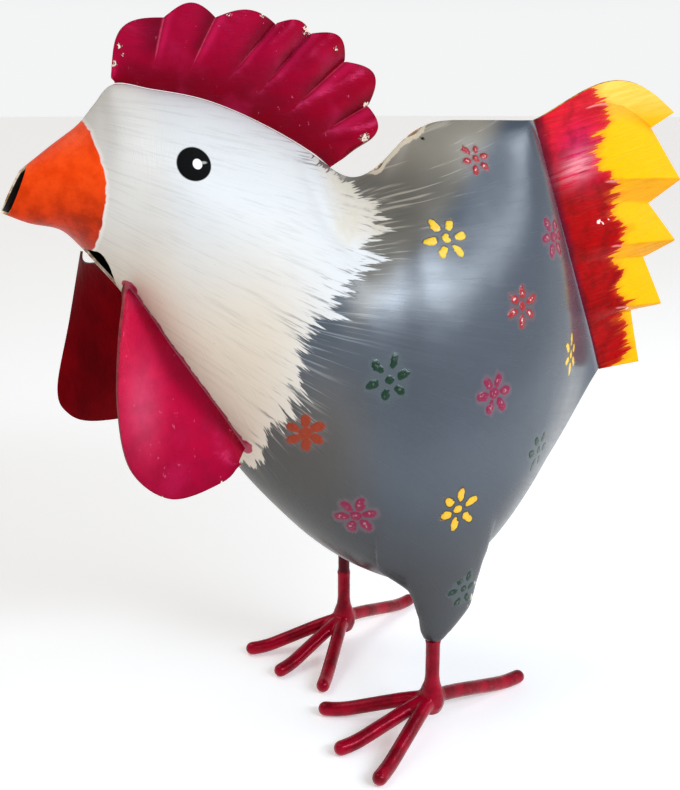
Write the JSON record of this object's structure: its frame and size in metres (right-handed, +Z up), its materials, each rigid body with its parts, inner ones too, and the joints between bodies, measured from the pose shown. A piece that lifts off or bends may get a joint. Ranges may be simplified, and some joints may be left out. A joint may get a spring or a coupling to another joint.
{
  "type": "metal rooster sculpture",
  "caption": "Standing rooster of painted sheet metal: hollow pressed body, pleated comb and tail, dished wattles, welded rod feet.",
  "frame": {"origin": "on the ground, at the middle of the whole part's footprint box", "axes": "-Y the way the rooster faces, +X its left side, +Z up"},
  "size_m": [0.1431, 0.3202, 0.3054],
  "materials": {
    "body_paint": "hand-brushed gloss, white head and neck, blue-grey body",
    "comb_paint": "hand-brushed gloss crimson",
    "tail_paint": "hand-brushed gloss, red at the root and yellow at the edge",
    "leg_paint": "gloss crimson"
  },
  "bodies": {
    "root": {"body_left": "body_paint", "body_right": "body_paint", "comb": "comb_paint", "tail": "tail_paint", "wattle_left": "comb_paint", "wattle_right": "comb_paint", "left_leg": "leg_paint", "right_leg": "leg_paint", "left_inner_toe": "leg_paint", "left_middle_toe": "leg_paint", "left_outer_toe": "leg_paint", "left_back_toe": "leg_paint", "right_inner_toe": "leg_paint", "right_middle_toe": "leg_paint", "right_outer_toe": "leg_paint", "right_back_toe": "leg_paint"}
  },
  "joints": []
}
